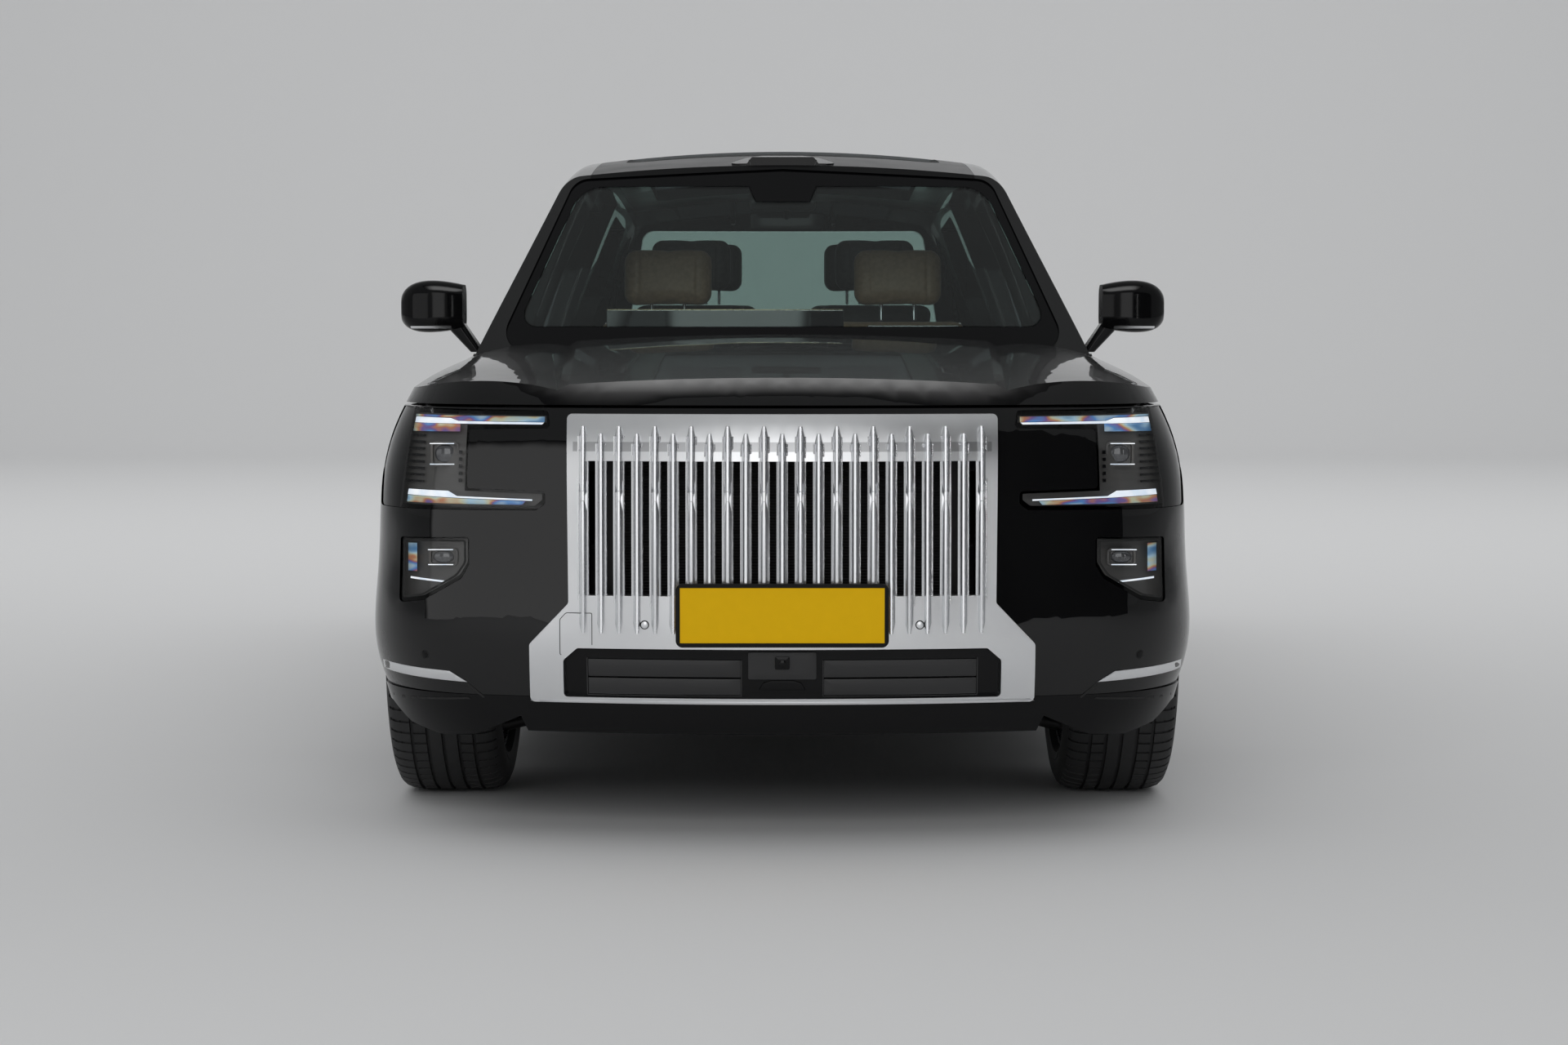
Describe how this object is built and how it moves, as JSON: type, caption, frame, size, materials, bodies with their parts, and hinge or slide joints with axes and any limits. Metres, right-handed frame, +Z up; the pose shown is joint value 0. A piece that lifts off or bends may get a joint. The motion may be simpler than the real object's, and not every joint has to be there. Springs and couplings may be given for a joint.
{
  "type": "large crossover",
  "caption": "Large three-row crossover with a pointed-bar grille, four hinged doors, bonnet, tailgate, steered front wheels and four turning wheels.",
  "frame": {"origin": "on the ground, under the middle of the car's length and width", "axes": "the nose points along -Y, +X is the car's left side, +Z is up"},
  "size_m": [2.224, 5.2394, 1.8192],
  "materials": {
    "paint": "deep gloss",
    "chrome": "polished",
    "gloss_black": "gloss",
    "matte_black": "satin",
    "clear_glass": "clear",
    "tinted_glass": "tinted",
    "lamp_lens": "clear",
    "red_lens": "gloss",
    "plate_yellow": "gloss",
    "tyre_rubber": "matte",
    "alloy": "satin",
    "steel": "satin",
    "iron": "rough",
    "brown_leather": "soft",
    "grey_leather": "soft",
    "carpet": "matte"
  },
  "bodies": {
    "body": {"side_frames": "paint", "windscreen": "clear_glass", "quarter_windows": "tinted_glass", "roof_sensor": "gloss_black", "roof_panel": "paint", "roof_glass": "tinted_glass", "front_fenders": "paint", "front_bumper": "paint", "headlamps": "lamp_lens", "lower_lamps": "lamp_lens", "grille": "chrome", "radiator": "matte_black", "lower_intake": "gloss_black", "front_lip": "gloss_black", "front_plate": "plate_yellow", "tail_lamps": "red_lens", "rear_bumper": "paint", "floor_pan": "carpet", "firewall": "matte_black", "cowl": "matte_black", "engine_block": "matte_black", "front_frame": "steel", "front_arch_liners": "matte_black", "rear_arch_liners": "matte_black", "front_seats": "brown_leather", "second_row_seats": "grey_leather", "third_row_seats": "grey_leather", "dashboard": "matte_black", "front_suspension": "steel", "rear_suspension": "steel"},
    "bonnet": {"bonnet": "paint"},
    "tailgate": {"tailgate": "paint", "tailgate_glass": "tinted_glass", "tail_light_bar": "red_lens"},
    "steering_wheel": {"steering_wheel": "matte_black"},
    "door_front_left": {"door_front_left": "paint", "door_glass_front_left": "clear_glass", "mirror_left": "gloss_black"},
    "door_rear_left": {"door_rear_left": "paint", "door_glass_rear_left": "tinted_glass"},
    "knuckle_left": {"knuckle_left": "iron"},
    "wheel_front_left": {"rim_front_left": "alloy", "tyre_front_left": "tyre_rubber"},
    "wheel_rear_left": {"rim_rear_left": "alloy", "tyre_rear_left": "tyre_rubber"},
    "door_front_right": {"door_front_right": "paint", "door_glass_front_right": "clear_glass", "mirror_right": "gloss_black"},
    "door_rear_right": {"door_rear_right": "paint", "door_glass_rear_right": "tinted_glass"},
    "knuckle_right": {"knuckle_right": "iron"},
    "wheel_front_right": {"rim_front_right": "alloy", "tyre_front_right": "tyre_rubber"},
    "wheel_rear_right": {"rim_rear_right": "alloy", "tyre_rear_right": "tyre_rubber"}
  },
  "joints": [
    {"name": "door_front_left_hinge", "type": "hinge", "parent": "body", "child": "door_front_left", "pos_m": [0.9885, -0.95, 0.75], "axis": [0, 0, -1], "range_deg": [0, 68]},
    {"name": "door_front_right_hinge", "type": "hinge", "parent": "body", "child": "door_front_right", "pos_m": [-0.9885, -0.95, 0.75], "axis": [0, 0, 1], "range_deg": [0, 68]},
    {"name": "door_rear_left_hinge", "type": "hinge", "parent": "body", "child": "door_rear_left", "pos_m": [0.993, 0.149, 0.75], "axis": [0, 0, -1], "range_deg": [0, 68]},
    {"name": "door_rear_right_hinge", "type": "hinge", "parent": "body", "child": "door_rear_right", "pos_m": [-0.993, 0.149, 0.75], "axis": [0, 0, 1], "range_deg": [0, 68]},
    {"name": "bonnet_hinge", "type": "hinge", "parent": "body", "child": "bonnet", "pos_m": [0, -1.092, 1.133], "axis": [-1, 0, 0], "range_deg": [0, 46]},
    {"name": "tailgate_hinge", "type": "hinge", "parent": "body", "child": "tailgate", "pos_m": [0, 2.19, 1.748], "axis": [1, 0, 0], "range_deg": [0, 76]},
    {"name": "steer_left", "type": "hinge", "parent": "body", "child": "knuckle_left", "pos_m": [0.825, -1.7, 0.3935], "axis": [0, 0, 1], "range_deg": [-35, 35]},
    {"name": "steer_right", "type": "hinge", "parent": "body", "child": "knuckle_right", "pos_m": [-0.825, -1.7, 0.3935], "axis": [0, 0, 1], "range_deg": [-35, 35]},
    {"name": "steering_wheel_turn", "type": "hinge", "parent": "body", "child": "steering_wheel", "pos_m": [0.385, -0.56, 1.01], "axis": [0, 0.9135, 0.4067], "range_deg": [-480, 480]},
    {"name": "wheel_front_left_spin", "type": "hinge", "parent": "knuckle_left", "child": "wheel_front_left", "pos_m": [0.8555, -1.7, 0.3935], "axis": [1, 0, 0], "continuous": true},
    {"name": "wheel_front_right_spin", "type": "hinge", "parent": "knuckle_right", "child": "wheel_front_right", "pos_m": [-0.8555, -1.7, 0.3935], "axis": [1, 0, 0], "continuous": true},
    {"name": "wheel_rear_left_spin", "type": "hinge", "parent": "body", "child": "wheel_rear_left", "pos_m": [0.8555, 1.469, 0.3935], "axis": [1, 0, 0], "continuous": true},
    {"name": "wheel_rear_right_spin", "type": "hinge", "parent": "body", "child": "wheel_rear_right", "pos_m": [-0.8555, 1.469, 0.3935], "axis": [1, 0, 0], "continuous": true}
  ],
  "couplings": [
    {"joint": "steer_right", "follows": "steer_left", "ratio": 1},
    {"joint": "steering_wheel_turn", "follows": "steer_left", "ratio": 13.7}
  ]
}
